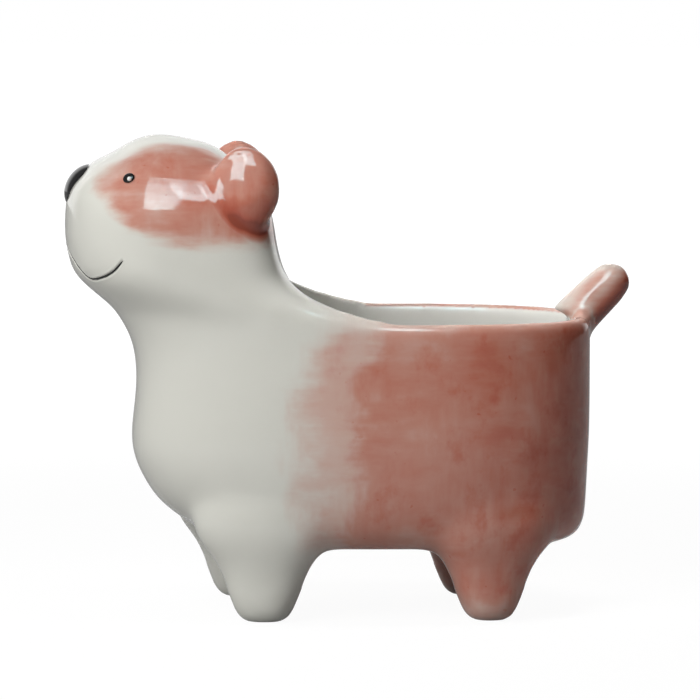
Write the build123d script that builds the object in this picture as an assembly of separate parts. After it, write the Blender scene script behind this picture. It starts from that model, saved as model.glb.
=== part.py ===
from build123d import *
import os
from math import copysign, cos, pi, sin

# Planter in the shape of a standing dog: a cast stoneware trunk that is open at the back and holds the
# plant, a hollow head luted on the front of its rim, four legs, two ears, a tail, and raised or inlaid
# details of the face. Lengths are millimetres and angles are degrees.
# Frame: X from the muzzle (-) to the tail (+), Y across, Z up. The origin is on the ground, midway
# between the front of the muzzle and the end of the tail.

# Trunk
OVERALL_LENGTH = 178.0
MUZZLE_OVERHANG = 21.1      # muzzle ahead of the chest
TAIL_OVERHANG = 13.8        # tail behind the rump
TRUNK_WIDTH = 92.0
BELLY_HEIGHT = 21.8         # ground to the underside of the trunk
RIM_HEIGHT = 93.0           # ground to the flat rim
WALL = 5.5
FLOOR_THICKNESS = 6.5
TRUNK_SQUARENESS = 2.7      # power of the plan's superellipse: 2 is an ellipse
# Each row: height from the belly to the rim, front inset and rear inset of the trunk's length, width, and
# how much wider the rear half is than the front half
TRUNK_SHARES = [
    (0.000, 0.208, 0.082, 0.674, 0.030),
    (0.015, 0.178, 0.048, 0.760, 0.030),
    (0.048, 0.148, 0.022, 0.848, 0.030),
    (0.097, 0.113, 0.011, 0.908, 0.030),
    (0.181, 0.059, 0.007, 0.957, 0.030),
    (0.269, 0.028, 0.005, 0.983, 0.030),
    (0.366, 0.006, 0.003, 0.996, 0.030),
    (0.462, 0.000, 0.001, 1.000, 0.034),
    (0.572, 0.005, 0.000, 0.995, 0.037),
    (0.683, 0.010, 0.000, 0.984, 0.040),
    (0.793, 0.008, 0.000, 0.970, 0.043),
    (0.876, -0.001, 0.000, 0.960, 0.046),
    (0.945, -0.017, 0.000, 0.951, 0.048),
    (1.000, -0.034, 0.001, 0.945, 0.050),
]

# Opening of the back, and the neck that rises out of the rim in front of it
OPENING_LENGTH = 89.0
OPENING_SQUARENESS = 2.6
OPENING_FRONT_SQUARENESS = 4.5
OPENING_EGG_SHARE = 0.03
COLLAR_LENGTH = 94.0        # how far back along the rim the foot of the neck reaches
COLLAR_STRAIGHT_SHARE = 0.55  # part of that foot which has the rim's own outline
NECK_HEIGHT = 17.0
NECK_LEVEL_SHARES = [0.0, 0.03, 0.065, 0.105, 0.155, 0.215, 0.29, 0.38, 0.49, 0.62, 0.78]
THROAT_POWER = 1.3          # how late the throat swings forward
NAPE_POWER = 2.4            # how soon the nape draws in from the rim

# Head
HEAD_LENGTH = 66.4          # front of the muzzle to the back of the neck
HEAD_WIDTH = 76.0
SKULL_HEIGHT = 38.5         # jaw to crown
HEAD_SQUARENESS = 2.3
HEAD_EGG_SHARE = 0.03       # how much narrower the muzzle is than the back of the head
# Each row: height from the jaw to the crown, front inset and rear inset of the head's length, width, and
# squareness of the rear half
SKULL_SHARES = [
    (0.000, 0.021, 0.010, 1.020, 5.0),
    (0.104, 0.008, 0.024, 1.013, 4.6),
    (0.260, 0.000, 0.032, 1.000, 4.0),
    (0.416, 0.005, 0.047, 0.981, 3.4),
    (0.545, 0.016, 0.066, 0.926, 3.0),
    (0.649, 0.056, 0.111, 0.859, 2.7),
    (0.753, 0.112, 0.172, 0.756, 2.5),
    (0.831, 0.200, 0.232, 0.647, 2.3),
    (0.909, 0.275, 0.300, 0.497, 2.3),
    (0.966, 0.342, 0.420, 0.308, 2.3),
    (0.985, 0.367, 0.473, 0.218, 2.3),
    (1.000, 0.402, 0.533, 0.112, 2.3),
]

# Legs
LEG_SET_IN = 17.0           # from the trunk's side to the middle of a foot
FORELEG_PLACE_SHARE = 0.275  # place along the trunk's length
HINDLEG_PLACE_SHARE = 0.762
FORELEG_STAGGER = 2.5       # the right foreleg is set on this much further forward
FORE_FOOT_LENGTH = 18.4
HIND_FOOT_LENGTH = 17.0
FOOT_WIDTH = 18.0
THIGH_LENGTH = 50.4         # where the leg runs into the trunk
THIGH_WIDTH = 30.0
LEG_ROOT = 18.2             # how far the leg goes on inside the trunk
LEG_TURN = 12.0             # how far a leg is turned to lie along the trunk's rounded side
TOE_ROUND = 3.2
LEG_SQUARENESS = 2.3
# Each row: height, how far the leg has widened from foot to thigh, how much of the toe's rounding
LEG_SHARES = [
    (0.000, 0.00, 1.0),
    (0.030, 0.00, 0.5),
    (0.100, 0.00, 0.0),
    (0.250, 0.15, 0.0),
    (0.400, 0.30, 0.0),
    (0.500, 0.46, 0.0),
    (0.600, 0.66, 0.0),
    (0.700, 0.78, 0.0),
    (0.825, 0.79, 0.0),
    (0.920, 0.64, 0.0),
    (1.000, 0.25, 0.0),
]

# Ears
EAR_LENGTH = 26.0
EAR_BREADTH = 21.5
EAR_THICKNESS = 13.5
EAR_TILT = 9.0              # lower end rearwards
EAR_LEAN = 12.0             # upper end inwards
EAR_TURN = 12.0             # outer face rearwards
EAR_SET_IN = 7.4            # from the head's side to the middle of an ear
EAR_STAGGER = 2.0           # the right ear is set on this much further back,
EAR_DROP = 1.0              # and this much lower
EAR_PLACE_SHARE = 0.824     # along the head's length, from the muzzle
EAR_HEIGHT_SHARE = 0.628    # of the skull's height

# Tail
TAIL_DIAMETER = 13.6
TAIL_ROOT_DIAMETER = 15.6
TAIL_RUN = 26.0             # from the middle of the rounded end to the root inside the trunk
TAIL_LEAN = 45.0            # away from upright
TAIL_RISE = 9.3             # middle of the rounded end above the rim

# Face
NOSE_LENGTH = 15.6
NOSE_WIDTH = 19.0
NOSE_THICKNESS = 12.0
NOSE_SINK = 4.3             # middle of the nose below the muzzle's surface
NOSE_TILT = 58.0            # away from upright, towards the front
NOSE_HEIGHT_SHARE = 0.625   # of the skull's height
EYE_DIAMETER = 3.7
EYE_THICKNESS = 1.6
EYE_PLACE_SHARE = 0.278     # along the head's length, from the muzzle
EYE_HEIGHT_SHARE = 0.685    # of the skull's height
CATCHLIGHT_DIAMETER = 1.4
CATCHLIGHT_PLACE_SHARES = (0.24, -0.40)  # of the eye's diameter, rearwards and upwards
MOUTH_WIDTH = 0.9
MOUTH_DEPTH = 0.7
# Each point: place along the head's length from the muzzle, height from the rim to the crown
MOUTH_SHARES = [
    (0.244, 0.328),
    (0.206, 0.270),
    (0.160, 0.229),
    (0.108, 0.212),
    (0.063, 0.262),
    (0.029, 0.325),
    (-0.020, 0.370),
]

OUTLINE_POINTS = 24
OVERRUN = 8.0               # how far cuts and sight lines start outside the solids

muzzle_front = -OVERALL_LENGTH / 2
trunk_front = muzzle_front + MUZZLE_OVERHANG
trunk_rear = OVERALL_LENGTH / 2 - TAIL_OVERHANG
trunk_length = trunk_rear - trunk_front
jaw_height = RIM_HEIGHT + NECK_HEIGHT
crown_height = jaw_height + SKULL_HEIGHT


def signed_power(value, power):
    """A power that keeps the sign of its base."""
    return copysign(abs(value) ** power, value)


def outline(front, rear, half_width, front_squareness, rear_squareness, egg):
    """Points round an egg-shaped superellipse, from the rear, seen from above."""
    middle = (front + rear) / 2
    points = []
    for index in range(OUTLINE_POINTS):
        angle = 2 * pi * index / OUTLINE_POINTS
        squareness = rear_squareness if cos(angle) > 0 else front_squareness
        along = signed_power(cos(angle), 2 / squareness)
        across = signed_power(sin(angle), 2 / squareness)
        points.append((middle + (rear - middle) * along, half_width * across * (1 + egg * along)))
    return points


def inset(points, wall):
    """The same outline drawn in by a wall."""
    front = min(x for x, y in points)
    rear = max(x for x, y in points)
    half_width = max(y for x, y in points)
    middle = (front + rear) / 2
    length_scale = 1 - 2 * wall / (rear - front)
    width_scale = 1 - wall / half_width
    return [(middle + (x - middle) * length_scale, y * width_scale) for x, y in points]


def stack(levels):
    """A solid lofted through outlines, each given with its height."""
    sections = []
    for height, points in levels:
        edge = Spline([(x, y, height) for x, y in points], periodic=True)
        sections.append(make_face(edge))
    return loft(sections)


def trunk_levels():
    """Outlines of the trunk from the belly to the rim."""
    levels = []
    for height_share, front_share, rear_share, width_share, egg_share in TRUNK_SHARES:
        height = BELLY_HEIGHT + height_share * (RIM_HEIGHT - BELLY_HEIGHT)
        front = trunk_front + front_share * trunk_length
        rear = trunk_rear - rear_share * trunk_length
        half_width = width_share * TRUNK_WIDTH / 2
        points = outline(front, rear, half_width, TRUNK_SQUARENESS, TRUNK_SQUARENESS, egg_share)
        levels.append((height, points))
    return levels


def trunk_cavity_levels():
    """The trunk's outlines drawn in by the wall, from the floor to above the rim."""
    floor_height = BELLY_HEIGHT + FLOOR_THICKNESS
    squeeze = (RIM_HEIGHT - floor_height) / (RIM_HEIGHT - BELLY_HEIGHT)
    levels = []
    for height, points in trunk_levels():
        levels.append((RIM_HEIGHT - (RIM_HEIGHT - height) * squeeze, inset(points, WALL)))
    rim_points = levels[-1][1]
    levels.append((RIM_HEIGHT + OVERRUN, rim_points))
    return levels


def collar_points():
    """Foot of the neck: the rim's outline in front, its rear drawn forward to the collar's length."""
    rim_points = trunk_levels()[-1][1]
    rim_front = min(x for x, y in rim_points)
    rim_rear = max(x for x, y in rim_points)
    knee = rim_front + COLLAR_STRAIGHT_SHARE * COLLAR_LENGTH
    squeeze = (rim_front + COLLAR_LENGTH - knee) / (rim_rear - knee)
    return [(x if x < knee else knee + (x - knee) * squeeze, y) for x, y in rim_points]


def skull_levels():
    """Outlines of the head from the jaw to the crown."""
    levels = []
    for height_share, front_share, rear_share, width_share, rear_squareness in SKULL_SHARES:
        height = jaw_height + height_share * SKULL_HEIGHT
        front = muzzle_front + front_share * HEAD_LENGTH
        rear = muzzle_front + HEAD_LENGTH - rear_share * HEAD_LENGTH
        half_width = width_share * HEAD_WIDTH / 2
        points = outline(front, rear, half_width, HEAD_SQUARENESS, rear_squareness, HEAD_EGG_SHARE)
        levels.append((height, points))
    return levels


def head_levels():
    """Outlines of the neck and head, changing from the collar to the jaw and then up to the crown."""
    collar = collar_points()
    jaw = skull_levels()[0][1]
    levels = []
    for height_share in NECK_LEVEL_SHARES:
        front_share = sin(pi / 2 * height_share) ** THROAT_POWER
        back_share = 1 - (1 - height_share) ** NAPE_POWER
        points = []
        for index in range(OUTLINE_POINTS):
            back_part = (1 + cos(2 * pi * index / OUTLINE_POINTS)) / 2
            change = front_share + (back_share - front_share) * back_part
            x = collar[index][0] + (jaw[index][0] - collar[index][0]) * change
            y = collar[index][1] + (jaw[index][1] - collar[index][1]) * change
            points.append((x, y))
        levels.append((RIM_HEIGHT + height_share * NECK_HEIGHT, points))
    return levels + skull_levels()


def head_inset_levels(wall):
    """The head's outlines drawn in by a wall, open at the foot of the neck."""
    squeeze = 1 - wall / (crown_height - RIM_HEIGHT)
    collar = inset(collar_points(), wall)
    levels = [(RIM_HEIGHT - OVERRUN, collar)]
    for height, points in head_levels():
        if max(y for x, y in points) > 2 * wall:
            levels.append((RIM_HEIGHT + (height - RIM_HEIGHT) * squeeze, inset(points, wall)))
    return levels


def make_opening():
    """Space of the opening above the rim, which the foot of the neck is cut back to."""
    rim_points = inset(trunk_levels()[-1][1], WALL)
    rear = max(x for x, y in rim_points)
    half_width = max(y for x, y in rim_points)
    front = rear - OPENING_LENGTH
    points = outline(front, rear, half_width, OPENING_FRONT_SQUARENESS, OPENING_SQUARENESS, OPENING_EGG_SHARE)
    return stack([(RIM_HEIGHT - OVERRUN, points), (RIM_HEIGHT + NECK_HEIGHT, points)])


def make_mouth(head_form):
    """Line round the muzzle, let into the surface of the head."""
    points = []
    for place_share, height_share in MOUTH_SHARES:
        height = RIM_HEIGHT + height_share * (crown_height - RIM_HEIGHT)
        points.append((muzzle_front + place_share * HEAD_LENGTH, height))
    band = extrude(Plane.XZ * trace(Spline(points), MOUTH_WIDTH), amount=HEAD_WIDTH, both=True)
    return band & (head_form - stack(head_inset_levels(MOUTH_DEPTH)))


def make_leg(middle, foot_length, side, turn):
    """Tapering leg that widens into the trunk, turned to lie along the trunk's side."""
    across = side * (TRUNK_WIDTH / 2 - LEG_SET_IN)
    levels = []
    for height_share, widen_share, round_share in LEG_SHARES:
        toe = TOE_ROUND * round_share
        half_length = (foot_length + (THIGH_LENGTH - foot_length) * widen_share) / 2 - toe
        half_width = (FOOT_WIDTH + (THIGH_WIDTH - FOOT_WIDTH) * widen_share) / 2 - toe
        levels.append((
            height_share * (BELLY_HEIGHT + LEG_ROOT),
            outline(-half_length, half_length, half_width, LEG_SQUARENESS, LEG_SQUARENESS, 0),
        ))
    return Pos(middle, across, 0) * Rot(0, 0, turn) * stack(levels)


def ellipsoid(length, width, height):
    """Ball stretched to three sizes."""
    return scale(Sphere(1), by=(length / 2, width / 2, height / 2))


def make_ear(side):
    """Puffy lobe that hangs on the side of the head, turned to lie along it."""
    stagger = EAR_STAGGER if side > 0 else 0
    drop = EAR_DROP if side > 0 else 0
    place = Pos(
        muzzle_front + EAR_PLACE_SHARE * HEAD_LENGTH + stagger,
        side * (HEAD_WIDTH / 2 - EAR_SET_IN),
        jaw_height + EAR_HEIGHT_SHARE * SKULL_HEIGHT - drop,
    )
    slant = Rot(0, 0, -side * EAR_TURN) * Rot(side * EAR_LEAN, 0, 0) * Rot(0, -EAR_TILT, 0)
    return place * slant * ellipsoid(EAR_BREADTH, EAR_THICKNESS, EAR_LENGTH)


def make_tail():
    """Finger of clay with a rounded end, leaning back over the rim."""
    place = Pos(OVERALL_LENGTH / 2 - TAIL_DIAMETER / 2, 0, RIM_HEIGHT + TAIL_RISE)
    finger = Cone(
        TAIL_ROOT_DIAMETER / 2,
        TAIL_DIAMETER / 2,
        TAIL_RUN,
        align=(Align.CENTER, Align.CENTER, Align.MAX),
    )
    return place * Rot(0, TAIL_LEAN, 0) * (finger + Sphere(TAIL_DIAMETER / 2))


def seat(solid, start, direction):
    """Plane on the surface of a solid, where a line from outside first meets it."""
    point, normal = solid.shell().find_intersection_points(Axis(start, direction))[0]
    return Plane(point, z_dir=normal)


def make_nose(head_form):
    """Raised cap on the end of the muzzle."""
    height = jaw_height + NOSE_HEIGHT_SHARE * SKULL_HEIGHT
    start = (muzzle_front - OVERRUN, 0, height)
    tip = seat(head_form, start, (1, 0, 0)).origin
    cap = ellipsoid(NOSE_LENGTH, NOSE_WIDTH, NOSE_THICKNESS)
    return Pos(tip) * Rot(0, -NOSE_TILT, 0) * Pos(0, 0, -NOSE_SINK) * cap


def make_eye(head_form, side):
    """Raised bead on the side of the face, with the plane that it sits on."""
    start = (
        muzzle_front + EYE_PLACE_SHARE * HEAD_LENGTH,
        side * (HEAD_WIDTH + OVERRUN),
        jaw_height + EYE_HEIGHT_SHARE * SKULL_HEIGHT,
    )
    plane = seat(head_form, start, (0, -side, 0))
    return plane * ellipsoid(EYE_DIAMETER, EYE_DIAMETER, EYE_THICKNESS), plane


def make_catchlight(eye, plane):
    """White dot on the bead of the eye."""
    rearwards_share, upwards_share = CATCHLIGHT_PLACE_SHARES
    offset = Vector(rearwards_share, 0, upwards_share) * EYE_DIAMETER
    start = plane.origin + offset + plane.z_dir * OVERRUN
    return seat(eye, start, -plane.z_dir) * Sphere(CATCHLIGHT_DIAMETER / 2)


trunk_form = stack(trunk_levels())
head_form = stack(head_levels())
mouth_line = make_mouth(head_form)
head = head_form - stack(head_inset_levels(WALL)) - make_opening() - mouth_line

nodes = {
    "trunk_pot": trunk_form - stack(trunk_cavity_levels()),
    "head": head,
    "tail": make_tail() - trunk_form,
    "nose": make_nose(head_form) - head_form,
    "mouth_line": mouth_line,
}
for name, side in (("left", -1), ("right", 1)):
    eye, plane = make_eye(head_form, side)
    stagger = FORELEG_STAGGER if side > 0 else 0
    fore_middle = trunk_front + FORELEG_PLACE_SHARE * trunk_length - stagger
    hind_middle = trunk_front + HINDLEG_PLACE_SHARE * trunk_length
    foreleg = make_leg(fore_middle, FORE_FOOT_LENGTH, side, side * LEG_TURN)
    hindleg = make_leg(hind_middle, HIND_FOOT_LENGTH, side, -side * LEG_TURN)
    nodes["foreleg_" + name] = foreleg - trunk_form
    nodes["hindleg_" + name] = hindleg - trunk_form
    nodes["ear_" + name] = make_ear(side) - head_form
    nodes["eye_" + name] = eye - head_form
    nodes["catchlight_" + name] = make_catchlight(eye, plane) - eye - head_form

os.makedirs("parts", exist_ok=True)
for name, solid in nodes.items():
    export_step(solid, os.path.join("parts", name + ".step"))
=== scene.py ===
import math

import bmesh
import bpy
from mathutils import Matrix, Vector
from mathutils.bvhtree import BVHTree
from mathutils.geometry import intersect_point_line
from mathutils.kdtree import KDTree


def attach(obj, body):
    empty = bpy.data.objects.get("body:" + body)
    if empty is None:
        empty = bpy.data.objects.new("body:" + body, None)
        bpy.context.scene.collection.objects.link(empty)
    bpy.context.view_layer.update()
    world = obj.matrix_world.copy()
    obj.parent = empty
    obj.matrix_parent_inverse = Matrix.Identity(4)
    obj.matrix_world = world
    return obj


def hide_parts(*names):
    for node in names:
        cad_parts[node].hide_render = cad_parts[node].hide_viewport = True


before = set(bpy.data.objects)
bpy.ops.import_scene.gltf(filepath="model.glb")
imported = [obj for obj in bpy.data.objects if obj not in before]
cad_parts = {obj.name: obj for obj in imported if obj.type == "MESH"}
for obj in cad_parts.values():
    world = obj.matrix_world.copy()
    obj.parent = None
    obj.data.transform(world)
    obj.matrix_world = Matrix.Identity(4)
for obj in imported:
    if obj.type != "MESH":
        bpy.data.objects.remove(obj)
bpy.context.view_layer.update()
scene = bpy.context.scene

# Body: a cast trunk and a cast head, with pressed legs, ears and tail luted on with slip, fired as one piece
# of off-white stoneware. A wet sponge rounds the lip of the opening and every joint before the glaze goes on.
# The feet are sponged less, so that their soles stay flat.
body_nodes = (
    "trunk_pot", "head", "tail", "ear_left", "ear_right",
    "foreleg_left", "foreleg_right", "hindleg_left", "hindleg_right",
)
clay_grain = 0.0013
same_place = 0.000001
feet_height = 0.010
clay = bmesh.new()
for name in body_nodes + ("mouth_line",):
    first_vert = len(clay.verts)
    clay.from_mesh(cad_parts[name].data)
    clay.verts.ensure_lookup_table()
    bmesh.ops.remove_doubles(clay, verts=clay.verts[first_vert:], dist=same_place)
body = bpy.data.objects.new("stoneware_body", bpy.data.meshes.new("stoneware_body"))
scene.collection.objects.link(body)
clay.to_mesh(body.data)
clay.free()
luting = body.modifiers.new("luting", "REMESH")
luting.mode = "VOXEL"
luting.voxel_size = clay_grain
luted = bpy.data.meshes.new_from_object(body.evaluated_get(bpy.context.evaluated_depsgraph_get()))
body.modifiers.clear()
clay = bmesh.new()
clay.from_mesh(luted)
bpy.data.meshes.remove(luted)


def sponge(verts, strokes):
    for _ in range(strokes):
        bmesh.ops.smooth_vert(clay, verts=verts, factor=0.5, use_axis_x=True, use_axis_y=True, use_axis_z=True)


above_feet = [vert for vert in clay.verts if vert.co.z > feet_height]
sponge(clay.verts, 8)
sponge(above_feet, 14)

# Ears: balls of clay pressed on to the sides of the head. The thumb leaves the outer face of each a little
# flat, and the sponge rounds the edge of its print. The right ear sits a little further back and lower.
left_ear, right_ear = (-0.0343, 0.0306, 0.1342), (-0.0323, 0.0306, 0.1332)
face_along, face_out, face_up = -0.160, 0.905, 0.394
thumb_height, thumb_reach, thumb_front = 0.0042, 0.0095, -0.0095
thumb_press = 0.5
thumbed = []
for vert in clay.verts:
    side = math.copysign(1, vert.co.y)
    ear_along, ear_out, ear_up = left_ear if side < 0 else right_ear
    ear_face = Vector((face_along, side * face_out, face_up))
    offset = vert.co - Vector((ear_along, side * ear_out, ear_up))
    rise = offset.dot(ear_face)
    flat_offset = offset - ear_face * rise
    if rise > thumb_height and flat_offset.length < thumb_reach and offset.x > thumb_front:
        vert.co -= ear_face * (rise - thumb_height) * thumb_press
        thumbed.append(vert)
sponge(thumbed, 6)

# Mouth groove: drawn into the soft clay with a needle, from one cheek round the front of the muzzle to the other.
# The clay is made finer along it, and the needle leaves a low ridge beside the line.
cheek_points = (
    (-72.8, 111.2), (-75.3, 108.0), (-78.4, 105.7), (-81.8, 104.8), (-84.8, 107.5), (-87.1, 111.0),
)
front_height = 0.1135
needle_step, least_steps = 0.0005, 8
groove_radius, groove_depth = 0.0007, 0.00055
ridge_place, ridge_width, ridge_height = 0.001, 0.0003, 0.00006
needle_reach = 0.0018
skin_tree = BVHTree.FromBMesh(clay)
lip_line = []
for along, up in cheek_points:
    point = skin_tree.ray_cast(Vector((along, -60, up)) / 1000, Vector((0, 1, 0)))[0]
    lip_line.append(point)
lip_line.append(skin_tree.ray_cast(Vector((-0.15, 0, front_height)), Vector((1, 0, 0)))[0])
lip_line += [Vector((point.x, -point.y, point.z)) for point in reversed(lip_line[:-1])]
needle_path = []
for index in range(len(lip_line) - 1):
    before, start, end, after = (
        lip_line[min(max(index + step, 0), len(lip_line) - 1)] for step in (-1, 0, 1, 2)
    )
    steps = max(least_steps, math.ceil((end - start).length / needle_step))
    for step in range(steps):
        share = step / steps
        bend = (
            2 * start + (end - before) * share + (2 * before - 5 * start + 4 * end - after) * share ** 2
            + (3 * start - before - 3 * end + after) * share ** 3
        )
        needle_path.append(skin_tree.find_nearest(bend / 2)[:2])
near_needle = KDTree(len(needle_path))
for index, (point, normal) in enumerate(needle_path):
    near_needle.insert(point, index)
near_needle.balance()
for reach in (0.0035, 0.0022):
    fine = [
        edge for edge in clay.edges
        if all(near_needle.find(vert.co)[2] < reach for vert in edge.verts)
    ]
    bmesh.ops.subdivide_edges(clay, edges=fine, cuts=1, use_grid_fill=True)
for vert in clay.verts:
    _, index, distance = near_needle.find(vert.co)
    if distance < needle_reach:
        press = max(1 - (distance / groove_radius) ** 2, 0) ** 2 * -groove_depth
        ridge = math.exp(-((distance - ridge_place) / ridge_width) ** 2) * ridge_height
        vert.co += needle_path[index][1] * (press + ridge)
clay.normal_update()
for face in clay.faces:
    face.smooth = True
clay.to_mesh(body.data)
clay.free()

# Hollow: the inside wall of the trunk and the head, below the lip. It faces the hollow's middle line, is coated
# by pouring clear glaze in and out again, and gets no wash.
hollow_line = (Vector((-0.056, 0, 0.118)), Vector((-0.030, 0, 0.072)), Vector((0.045, 0, 0.068)))
hollow_foot, under_lip, neck_top, brow, crown = 0.025, 0.0912, 0.108, 0.136, 0.144
neck_half, head_half, crown_half = 0.039, 0.0335, 0.020
neck_rear, head_rear = 0.010, -0.029
bare_inside = body.data.attributes.new("bare_inside", "FLOAT", "POINT")
for vert in body.data.vertices:
    nearest = None
    for start, end in zip(hollow_line, hollow_line[1:]):
        _, share = intersect_point_line(vert.co, start, end)
        offset = vert.co - start.lerp(end, min(max(share, 0), 1))
        if nearest is None or offset.length < nearest.length:
            nearest = offset
    faces_middle = vert.normal.dot(nearest) < 0
    half = abs(vert.co.y)
    in_trunk = hollow_foot < vert.co.z < under_lip
    in_neck = under_lip <= vert.co.z < neck_top and half < neck_half and vert.co.x < neck_rear
    in_head = neck_top <= vert.co.z < crown and vert.co.x < head_rear
    in_head = in_head and half < (head_half if vert.co.z < brow else crown_half)
    bare_inside.data[vert.index].value = float(faces_middle and (in_trunk or in_neck or in_head))

# Glaze skin, used on every fired surface: it lies in slow waves with a fine orange peel, so that window
# reflections bend, and its gloss is a little uneven.


def value_node(tree, kind, **settings):
    node = tree.nodes.new("ShaderNode" + kind)
    for setting, value in settings.items():
        setattr(node, setting, value)
    return node


def feed(tree, socket, value):
    if isinstance(value, bpy.types.NodeSocket):
        tree.links.new(value, socket)
    else:
        socket.default_value = value


def calculate(tree, operation, first, second=0.0, third=0.0):
    node = value_node(tree, "Math", operation=operation)
    for socket, value in zip(node.inputs, (first, second, third)):
        feed(tree, socket, value)
    return node.outputs[0]


def noise(tree, place, scale, detail=3.0, roughness=0.5):
    node = value_node(tree, "TexNoise")
    feed(tree, node.inputs["Vector"], place)
    node.inputs["Scale"].default_value = scale
    node.inputs["Detail"].default_value = detail
    node.inputs["Roughness"].default_value = roughness
    return node.outputs["Fac"]


peel_depth = 0.012
gloss_spread, gloss_least = 0.09, 0.035
glaze_skin = bpy.data.node_groups.new("glaze_skin", "ShaderNodeTree")
glaze_skin.interface.new_socket("Place", in_out="INPUT", socket_type="NodeSocketVector")
glaze_skin.interface.new_socket("Wave", in_out="INPUT", socket_type="NodeSocketFloat")
glaze_skin.interface.new_socket("Height", in_out="OUTPUT", socket_type="NodeSocketFloat")
glaze_skin.interface.new_socket("Roughness", in_out="OUTPUT", socket_type="NodeSocketFloat")
given = glaze_skin.nodes.new("NodeGroupInput")
result = glaze_skin.nodes.new("NodeGroupOutput")
swell = noise(glaze_skin, given.outputs["Place"], 0.05, 1.0)
waves = calculate(glaze_skin, "MULTIPLY", swell, given.outputs["Wave"])
peel = noise(glaze_skin, given.outputs["Place"], 0.7, 2.0)
feed(glaze_skin, result.inputs["Height"], calculate(glaze_skin, "MULTIPLY_ADD", peel, peel_depth, waves))
patchy_gloss = noise(glaze_skin, given.outputs["Place"], 0.11, 4.0, 0.6)
feed(glaze_skin, result.inputs["Roughness"],
     calculate(glaze_skin, "MULTIPLY_ADD", patchy_gloss, gloss_spread, gloss_least))

# Rose wash: thin underglaze brushed on in two coats under the clear glaze. It is densest where strokes
# overlap and thin on the lip and the feet. It is darkened as painted shade in the creases under the ears,
# behind the tail and towards the rump. Places are in millimetres.


def soft_step(tree, value, low, high):
    node = value_node(tree, "MapRange", interpolation_type="SMOOTHSTEP")
    for socket, given in zip(node.inputs, (value, low, high)):
        feed(tree, socket, given)
    return node.outputs[0]


def soft_drop(tree, value, low, high):
    return calculate(tree, "SUBTRACT", 1.0, soft_step(tree, value, low, high))


def stretched(tree, place, scale):
    node = value_node(tree, "Mapping")
    feed(tree, node.inputs["Vector"], place)
    node.inputs["Scale"].default_value = scale
    return node.outputs["Vector"]


def in_millimetres(tree):
    coordinates = value_node(tree, "TexCoord")
    return stretched(tree, coordinates.outputs["Object"], (1000, 1000, 1000))


def parts_of(tree, vector):
    node = value_node(tree, "SeparateXYZ")
    feed(tree, node.inputs[0], vector)
    return node.outputs


def colour_ramp(tree, value, first, *between, last):
    node = value_node(tree, "ValToRGB")
    feed(tree, node.inputs["Fac"], value)
    stops = node.color_ramp.elements
    stops[0].position, stops[0].color = first
    stops[1].position, stops[1].color = last
    for position, colour in between:
        stops.new(position).color = colour
    return node.outputs["Color"]


def new_glaze(name):
    glaze = bpy.data.materials.new(name)
    glaze.use_nodes = True
    return glaze, glaze.node_tree, glaze.node_tree.nodes["Principled BSDF"]


def lay_glaze(tree, shader, place, wave, refraction):
    skin = value_node(tree, "Group", node_tree=glaze_skin)
    feed(tree, skin.inputs["Place"], place)
    skin.inputs["Wave"].default_value = wave
    relief = value_node(tree, "Bump")
    relief.inputs["Distance"].default_value = 0.001
    feed(tree, relief.inputs["Height"], skin.outputs["Height"])
    feed(tree, shader.inputs["Normal"], relief.outputs["Normal"])
    feed(tree, shader.inputs["Roughness"], skin.outputs["Roughness"])
    shader.inputs["IOR"].default_value = refraction


body_glaze, tree, shader = new_glaze("rose_wash_glaze")
place = in_millimetres(tree)
along, across, up = parts_of(tree, place)
out = calculate(tree, "ABSOLUTE", across)

# Brush: level strokes in some places and upright ones in others, with a slow drift in its load.
level_stroke, upright_stroke, pool_shape = (0.25, 0.6, 1.0), (1.0, 0.6, 0.25), (1.0, 0.7, 0.8)
edge_by_stroke, edge_by_drift = 10.0, 18.0
load_by_stroke, load_by_drift = 0.75, 1.1
blotches = noise(tree, place, 0.055, 4.0, 0.55)
level_strokes = noise(tree, stretched(tree, place, level_stroke), 0.26, 3.0, 0.5)
upright_strokes = noise(tree, stretched(tree, place, upright_stroke), 0.24, 3.0, 0.5)
turn = soft_step(tree, noise(tree, place, 0.045, 1.0), 0.44, 0.56)
upright_part = calculate(tree, "MULTIPLY", upright_strokes, turn)
level_part = calculate(tree, "MULTIPLY", level_strokes, calculate(tree, "SUBTRACT", 1.0, turn))
strokes = calculate(tree, "SUBTRACT", calculate(tree, "ADD", upright_part, level_part), 0.5)
drift = calculate(tree, "SUBTRACT", blotches, 0.5)
ragged = calculate(tree, "MULTIPLY_ADD", strokes, edge_by_stroke,
                   calculate(tree, "MULTIPLY", drift, edge_by_drift))
uneven = calculate(tree, "MULTIPLY_ADD", strokes, load_by_stroke,
                   calculate(tree, "MULTIPLY", drift, load_by_drift))
pools = soft_step(tree, noise(tree, stretched(tree, place, pool_shape), 0.10, 4.0, 0.6), 0.5, 0.72)

# Trunk and legs: a thin first coat with a bowed edge, a denser second one behind it, most of it on the rump;
# the extra on the rump is partly painted shade where the light falls off to the rear.
bow_height, bow = 52.0, -0.0065
second_slant, second_ragged = -0.144, 0.85
first_load, second_load, rump_load_and_shade = 0.46, 0.52, 0.42
even_load, pool_load = 1.06, 0.35
from_bow = calculate(tree, "POWER", calculate(tree, "SUBTRACT", up, bow_height), 2.0)
first_edge = calculate(tree, "MULTIPLY_ADD", from_bow, bow, calculate(tree, "ADD", along, ragged))
first_coat = soft_step(tree, first_edge, -27.0, -11.0)
second_edge = calculate(tree, "MULTIPLY_ADD", up, second_slant,
                        calculate(tree, "MULTIPLY_ADD", ragged, second_ragged, along))
second_coat = soft_step(tree, second_edge, -13.5, -4.0)
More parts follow.
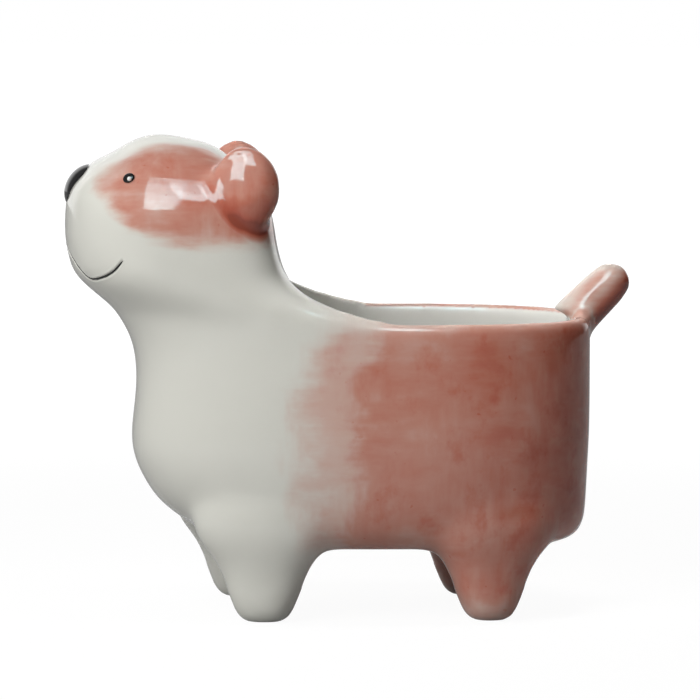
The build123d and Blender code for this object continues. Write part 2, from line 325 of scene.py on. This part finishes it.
# Denser towards the rump: partly a heavier brush load, partly painted shade where the light falls off.
rump_wash_and_shade = soft_step(tree, along, 10.0, 74.0)
trunk_wash = calculate(tree, "MULTIPLY_ADD", second_coat, second_load,
                       calculate(tree, "MULTIPLY", first_coat, first_load))
trunk_wash = calculate(tree, "MULTIPLY_ADD", rump_wash_and_shade, rump_load_and_shade, trunk_wash)
trunk_load = calculate(tree, "MULTIPLY_ADD", pools, pool_load, calculate(tree, "ADD", uneven, even_load))
trunk_wash = calculate(tree, "MULTIPLY", trunk_wash, trunk_load)
lip = soft_step(tree, up, 88.8, 92.4)
trunk_wash = calculate(tree, "MULTIPLY", trunk_wash, calculate(tree, "MULTIPLY_ADD", lip, -0.5, 1.0))
foot = soft_step(tree, calculate(tree, "MULTIPLY_ADD", strokes, 10.0, up), 0.0, 12.0)
trunk_wash = calculate(tree, "MULTIPLY", trunk_wash, calculate(tree, "MULTIPLY_ADD", foot, 0.5, 0.5))

# Tail: paler along its front as a painted highlight and at the tip as painted light, and darker behind and
# underneath as painted shade.
tail_along, tail_up = 72.3, 94.0
behind_along, behind_up = 0.74, -0.67
tail_half, tail_clear = 6.2, 8.2
astride_rim = calculate(tree, "MULTIPLY", soft_step(tree, up, 90.6, 92.8), soft_step(tree, along, 59.0, 63.0))
behind_wall = calculate(tree, "MULTIPLY", soft_step(tree, up, 80.0, 86.0), soft_step(tree, along, 75.8, 77.4))
on_tail = calculate(tree, "MULTIPLY", calculate(tree, "MAXIMUM", astride_rim, behind_wall),
                    soft_drop(tree, out, tail_half, tail_clear))
behind_tail = calculate(tree, "MULTIPLY", calculate(tree, "SUBTRACT", along, tail_along), behind_along)
behind_tail = calculate(tree, "MULTIPLY_ADD", calculate(tree, "SUBTRACT", up, tail_up), behind_up, behind_tail)
# Low wash along the front of the tail: a painted highlight.
tail_front_painted_highlight = calculate(tree, "MULTIPLY_ADD", soft_step(tree, behind_tail, -6.5, -2.0), 0.56, 0.10)
tail_front_painted_highlight = calculate(tree, "MULTIPLY", tail_front_painted_highlight, calculate(tree, "MULTIPLY_ADD", strokes, 2.4, 1.0))
# Lighter wash towards the tip: painted light.
tail_tip_painted_light = calculate(tree, "MULTIPLY_ADD", soft_step(tree, up, 103.0, 112.0), -0.5, 1.0)
# The wash rises behind the tail's line: painted shade on its back and underside.
tail_wash_and_shade = calculate(tree, "MULTIPLY_ADD", soft_step(tree, behind_tail, 0.5, 6.0), 1.6, tail_front_painted_highlight)
tail_wash_and_shade = calculate(tree, "MULTIPLY", calculate(tree, "MULTIPLY", on_tail, tail_tip_painted_light), tail_wash_and_shade)
trunk_wash = calculate(tree, "MULTIPLY", trunk_wash, calculate(tree, "SUBTRACT", 1.0, on_tail))

# Head: a patch from the ear over the eye, with a bare blaze down the middle of the forehead.
cheek_start, cheek_length, cheek_lift = -45.0, 35.0, -14.0
eye_height, brow_slant = 134.0, -0.8
head_load_uneven, head_load = 1.5, 1.15
head_ragged = calculate(tree, "MULTIPLY", calculate(tree, "SUBTRACT", level_strokes, 0.5), 7.0)
before_cheek = calculate(tree, "DIVIDE", calculate(tree, "SUBTRACT", cheek_start, along), cheek_length)
cheek_rise = calculate(tree, "POWER", calculate(tree, "MAXIMUM", before_cheek, 0.0), 3.0)
over_jaw = calculate(tree, "MULTIPLY_ADD", cheek_rise, cheek_lift, calculate(tree, "ADD", up, head_ragged))
above_eye = calculate(tree, "MAXIMUM", calculate(tree, "SUBTRACT", up, eye_height), 0.0)
behind_nose = calculate(tree, "MULTIPLY_ADD", above_eye, brow_slant, calculate(tree, "ADD", along, head_ragged))
patch = calculate(tree, "MULTIPLY", soft_step(tree, over_jaw, 113.4, 122.0),
                  soft_step(tree, behind_nose, -87.0, -68.0))
blaze = soft_step(tree, calculate(tree, "MULTIPLY_ADD", head_ragged, 0.8, out), 11.5, 23.0)
head_wash = calculate(
    tree, "MULTIPLY", calculate(tree, "MULTIPLY", patch, blaze),
    calculate(tree, "ADD", calculate(tree, "MULTIPLY", uneven, head_load_uneven), head_load))

# Ears: one load of the brush each, denser towards the hanging tip, partly as painted shade on its downward
# face, and darkened as painted shade in the fold under each ear and the valley in front of it.
ear_middle, ear_turns, ear_halves = (-34.3, 30.6, 134.2), (12.0, -9.0, -12.0), (10.75, 6.75, 13.0)
right_ear_back = -2.0
ear_edge = 1.1
ear_load_uneven, ear_tip_and_shade_load, ear_load = 1.9, 1.3, 0.80
fold_shade_load, valley_shade_load = 1.1, 0.55
far_ear = calculate(tree, "GREATER_THAN", across, 0.0)
ear_place = value_node(tree, "CombineXYZ")
feed(tree, ear_place.inputs["X"], calculate(tree, "MULTIPLY_ADD", far_ear, right_ear_back, along))
feed(tree, ear_place.inputs["Y"], out)
feed(tree, ear_place.inputs["Z"], calculate(tree, "ADD", far_ear, up))
from_ear = value_node(tree, "Mapping", vector_type="TEXTURE")
feed(tree, from_ear.inputs["Vector"], ear_place.outputs[0])
from_ear.inputs["Location"].default_value = ear_middle
from_ear.inputs["Rotation"].default_value = [math.radians(angle) for angle in ear_turns]
from_ear.inputs["Scale"].default_value = ear_halves
ear_length = value_node(tree, "VectorMath", operation="LENGTH")
feed(tree, ear_length.inputs[0], from_ear.outputs[0])
ear_reach = ear_length.outputs["Value"]
ear_parts = parts_of(tree, from_ear.outputs[0])
ear_along, ear_up = ear_parts["X"], ear_parts["Z"]
on_ear = soft_drop(tree, ear_reach, 1.15, 1.5)
# Denser towards the hanging tip: partly the brush's load, partly painted shade on the ear's downward face.
ear_tip_and_shade = soft_drop(tree, ear_up, -1.1, 0.2)
ear_wash = calculate(tree, "MULTIPLY_ADD", uneven, ear_load_uneven,
                     calculate(tree, "MULTIPLY_ADD", ear_tip_and_shade, ear_tip_and_shade_load, ear_load))
ear_wash = calculate(tree, "MULTIPLY", on_ear, ear_wash)
from_edge = calculate(tree, "ABSOLUTE", calculate(tree, "SUBTRACT", ear_reach, ear_edge))
# Painted shade: a dark band along the fold under the ear, and a darker valley in front of the ear.
under_ear_shade_mask = soft_drop(tree, ear_up, -0.95, -0.45)
fold_painted_shade = calculate(tree, "MULTIPLY", soft_drop(tree, from_edge, 0.02, 0.16), under_ear_shade_mask)
before_ear_shade_mask = calculate(tree, "MULTIPLY", soft_drop(tree, ear_along, -0.9, -0.2), soft_drop(tree, ear_up, 0.0, 0.6))
valley_painted_shade = calculate(tree, "MULTIPLY", soft_drop(tree, from_edge, 0.0, 0.35), before_ear_shade_mask)
ear_wash = calculate(tree, "MULTIPLY_ADD", fold_painted_shade, fold_shade_load,
                     calculate(tree, "MULTIPLY_ADD", valley_painted_shade, valley_shade_load, ear_wash))

# Colour: from bare off-white through rose to brown, by the depth of the wash, with a few coarse grains in it.
# The brown end also carries the painted shade of the creases.
deepest_wash = 2.5
grains = soft_step(tree, noise(tree, place, 0.42, 1.0), 0.74, 0.80)
wash = calculate(tree, "MAXIMUM", calculate(tree, "MAXIMUM", trunk_wash, tail_wash_and_shade),
                 calculate(tree, "MAXIMUM", head_wash, ear_wash))
wash = calculate(tree, "MULTIPLY", wash, calculate(tree, "MULTIPLY_ADD", grains, 0.25, 1.0))
inside = value_node(tree, "Attribute", attribute_name="bare_inside")
wash = calculate(tree, "MULTIPLY", wash, calculate(tree, "SUBTRACT", 1.0, inside.outputs["Fac"]))
wash_colour = colour_ramp(
    tree, calculate(tree, "DIVIDE", wash, deepest_wash),
    (0.0, (0.672, 0.668, 0.608, 1)), (0.2, (0.604, 0.415, 0.352, 1)), (0.4, (0.545, 0.260, 0.198, 1)),
    (0.6, (0.492, 0.164, 0.111, 1)), (0.8, (0.425, 0.103, 0.064, 1)), last=(1.0, (0.300, 0.072, 0.046, 1)))
# Inside: a lighter off-white than the bare clay outside, as painted light in the hollow where little lamp light
# reaches.
inside_painted_light_mix = value_node(tree, "Mix", data_type="RGBA")
feed(tree, inside_painted_light_mix.inputs["Factor"], inside.outputs["Fac"])
feed(tree, inside_painted_light_mix.inputs[6], wash_colour)
inside_painted_light_mix.inputs[7].default_value = (0.76, 0.75, 0.705, 1)
feed(tree, shader.inputs["Base Color"], inside_painted_light_mix.outputs[2])
lay_glaze(tree, shader, place, wave=0.5, refraction=1.55)
body.data.materials.clear()
body.data.materials.append(body_glaze)
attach(body, "root")
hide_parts(*body_nodes)

# Nose and eyes: blobs of black glaze laid on thickly, so that they stand proud of the face and shine. The black
# is a touch browner where it ran thin.
black_glaze, tree, shader = new_glaze("black_glaze")
place = in_millimetres(tree)
thin_places = colour_ramp(
    tree, noise(tree, place, 0.4, 4.0, 0.6),
    (0.45, (0.006, 0.006, 0.006, 1)), last=(0.85, (0.016, 0.014, 0.013, 1)))
feed(tree, shader.inputs["Base Color"], thin_places)
lay_glaze(tree, shader, place, wave=0.1, refraction=1.6)
for name in ("nose", "eye_left", "eye_right"):
    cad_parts[name].data.materials.clear()
    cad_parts[name].data.materials.append(black_glaze)

# Mouth: the needle's groove is inked with the same black, which lies as a thin thread in the bottom of it. The
# thread thins out towards the two corners of the mouth.
thread_radius, thread_depth = 0.00038, 0.00042
end_share, end_growth = 0.35, 0.16
thread_sides = 8
thread = bmesh.new()
rings = []
for index, (point, normal) in enumerate(needle_path):
    next_point = needle_path[min(index + 1, len(needle_path) - 1)][0]
    last_point = needle_path[max(index - 1, 0)][0]
    side = (next_point - last_point).normalized().cross(normal).normalized()
    from_end = min(index, len(needle_path) - 1 - index)
    thickness = thread_radius * min(1, end_share + end_growth * from_end)
    ring = []
    for corner in range(thread_sides):
        angle = math.tau * corner / thread_sides
        offset = side * math.cos(angle) + normal * math.sin(angle)
        ring.append(thread.verts.new(point - normal * thread_depth + offset * thickness))
    rings.append(ring)
for ring, next_ring in zip(rings, rings[1:]):
    for corner in range(thread_sides):
        thread.faces.new((ring[corner], ring[corner - 1], next_ring[corner - 1], next_ring[corner]))
thread.faces.new(rings[0])
thread.faces.new(reversed(rings[-1]))
bmesh.ops.recalc_face_normals(thread, faces=thread.faces)
for face in thread.faces:
    face.smooth = True
mouth = bpy.data.objects.new("mouth_thread", bpy.data.meshes.new("mouth_thread"))
scene.collection.objects.link(mouth)
thread.to_mesh(mouth.data)
thread.free()
mouth.data.materials.append(black_glaze)
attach(mouth, "root")
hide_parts("mouth_line")

# Catchlights: a dot of white glaze on each eye, put on with the tip of a brush. It is a little chalky, because
# there is no clear glaze over it.
white_dot, tree, shader = new_glaze("white_dot")
chalky = colour_ramp(
    tree, noise(tree, in_millimetres(tree), 1.2, 3.0),
    (0.3, (0.76, 0.76, 0.73, 1)), last=(0.7, (0.88, 0.88, 0.86, 1)))
feed(tree, shader.inputs["Base Color"], chalky)
shader.inputs["Roughness"].default_value = 0.2
for name in ("catchlight_left", "catchlight_right"):
    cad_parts[name].data.materials.clear()
    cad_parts[name].data.materials.append(white_dot)

# Floor: a wide pale sweep of paper under the planter. The camera sees it nearly white, with the shadow on it
# near the feet, and the glaze reflects a little of that white.
near_share, far_share, glossy_share = 0.85, 0.15, 0.15
sweep = bmesh.new()
bmesh.ops.create_circle(sweep, cap_ends=True, segments=64, radius=6.0)
floor = bpy.data.objects.new("floor", bpy.data.meshes.new("floor"))
scene.collection.objects.link(floor)
sweep.to_mesh(floor.data)
sweep.free()
paper = bpy.data.materials.new("pale_paper")
paper.use_nodes = True
tree = paper.node_tree
tree.nodes.clear()
diffuse = value_node(tree, "BsdfDiffuse")
diffuse.inputs["Color"].default_value = (0.38, 0.38, 0.38, 1)
glow = value_node(tree, "Emission")
glow.inputs["Strength"].default_value = 1.12
rays = value_node(tree, "LightPath")
seen = calculate(tree, "MULTIPLY_ADD", rays.outputs["Is Glossy Ray"], glossy_share, rays.outputs["Is Camera Ray"])
coordinates = value_node(tree, "TexCoord")
from_planter = value_node(tree, "VectorMath", operation="LENGTH")
feed(tree, from_planter.inputs[0], coordinates.outputs["Object"])
far_off = soft_step(tree, from_planter.outputs["Value"], 0.25, 1.0)
white_share = calculate(tree, "MULTIPLY_ADD", far_off, far_share, near_share)
blend = value_node(tree, "MixShader")
feed(tree, blend.inputs[0], calculate(tree, "MULTIPLY", seen, white_share))
feed(tree, blend.inputs[1], diffuse.outputs[0])
feed(tree, blend.inputs[2], glow.outputs[0])
surface = value_node(tree, "OutputMaterial")
feed(tree, surface.inputs["Surface"], blend.outputs[0])
floor.data.materials.append(paper)

# Studio: white behind the planter for the camera and for reflections. The room is dim, and dimmer on the right,
# with some light from overhead and a soft light from the backdrop, more of it behind the head.
scene.view_settings.view_transform = "Standard"
left_room, right_room = 0.17, 0.0
overhead_light = 0.1
back_light = 0.7
back_left, back_drop = 1.3, 0.3
studio = bpy.data.worlds.new("studio")
scene.world = studio
studio.use_nodes = True
tree = studio.node_tree
tree.nodes.clear()
rays = value_node(tree, "LightPath")
glossy = rays.outputs["Is Glossy Ray"]
direction = value_node(tree, "TexCoord")
to_right, to_back, to_top = parts_of(tree, direction.outputs["Generated"])
dim_right = value_node(tree, "MapRange")
for socket, given in zip(dim_right.inputs, (to_right, -0.8, 0.4, left_room, right_room)):
    feed(tree, socket, given)
behind = calculate(tree, "MULTIPLY", glossy, soft_step(tree, to_back, 0.62, 0.86))
open_view = calculate(tree, "MAXIMUM", rays.outputs["Is Camera Ray"], rays.outputs["Is Transmission Ray"])
seen = calculate(tree, "MAXIMUM", open_view, behind)
backdrop = value_node(tree, "Background")
backdrop.inputs["Color"].default_value = (1, 1, 1, 1)
overhead = calculate(tree, "MULTIPLY", calculate(tree, "MAXIMUM", to_top, 0.0), soft_drop(tree, to_right, 0.0, 0.7))
room = calculate(tree, "MULTIPLY_ADD", overhead, overhead_light, dim_right.outputs[0])
unreflected = calculate(tree, "SUBTRACT", back_light, calculate(tree, "MULTIPLY", glossy, back_light))
soft_back = calculate(tree, "MULTIPLY", soft_step(tree, to_back, 0.05, 0.6), unreflected)
left_back = calculate(tree, "SUBTRACT", back_left,
                      calculate(tree, "MULTIPLY", soft_step(tree, to_right, -0.6, 0.2), back_drop))
room = calculate(tree, "MULTIPLY_ADD", soft_back, left_back, room)
feed(tree, backdrop.inputs["Strength"], calculate(tree, "MAXIMUM", seen, room))
surface = value_node(tree, "OutputWorld")
feed(tree, surface.inputs["Surface"], backdrop.outputs[0])

# Lamps: a close lamp from the head's side models the form, and a small one over the opening lights the inside.
# A pair of tall windows shows only in the glaze, fading upwards in three panes each.


def softbox(name, place, aim, width, height, watts):
    lamp = bpy.data.lights.new(name, "AREA")
    lamp.shape = "RECTANGLE"
    lamp.size, lamp.size_y = width, height
    lamp.energy = watts
    box = bpy.data.objects.new(name, lamp)
    box.location = place
    box.rotation_euler = (Vector(aim) - Vector(place)).to_track_quat("-Z", "Y").to_euler()
    box.visible_camera = False
    scene.collection.objects.link(box)
    return box


key = softbox("key_lamp", (-0.413, -0.492, 0.468), (0, 0, 0.08), 0.45, 0.45, 4.6)
key.visible_glossy = False
top = softbox("top_lamp", (0.060, -0.060, 0.640), (0.040, 0.010, 0.08), 0.10, 0.10, 0.045)
top.data.spread = math.radians(28)
top.visible_glossy = False
middle = Vector((-0.03, 0, 0.10))
window_distance = 1.2
daylight = (0.60, 0.94, 1.0)
for name, turn, low, high, width, brightness in (
    ("tall_window", -18.0, 32.6, 54.0, 0.42, 9.0),
    ("tall_window_haze", -18.0, 54.0, 66.0, 0.42, 6.4),
    ("tall_window_top", -18.0, 66.0, 78.0, 0.42, 3.2),
    ("short_window", 8.0, 49.2, 60.0, 0.30, 9.0),
    ("short_window_haze", 8.0, 60.0, 70.0, 0.30, 5.6),
    ("short_window_top", 8.0, 70.0, 80.0, 0.30, 2.4),
):
    bearing, lift = math.radians(turn), math.radians((low + high) / 2)
    line = Vector((math.sin(bearing) * math.cos(lift), -math.cos(bearing) * math.cos(lift), math.sin(lift)))
    height = 2 * window_distance * math.tan(math.radians((high - low) / 2))
    watts = brightness * width * height * math.pi
    window = softbox(name, middle + line * window_distance, middle, width, height, watts)
    window.data.color = daylight
    window.visible_diffuse = False

# Camera: a long lens, a few degrees above the rim and a few towards the head, so that the opening shows as a
# narrow slot and the far legs stand to the left of the near ones.
lens = bpy.data.cameras.new("camera")
lens.sensor_width = 36
lens.lens = 259.2
camera = bpy.data.objects.new("camera", lens)
camera.location = (-0.1478, -1.5630, 0.222)
sight = Vector((0.00025, 0, 0.081)) - camera.location
camera.rotation_euler = sight.to_track_quat("-Z", "Y").to_euler()
camera.rotation_euler.rotate_axis("Z", math.radians(0.35))
scene.collection.objects.link(camera)
scene.camera = camera
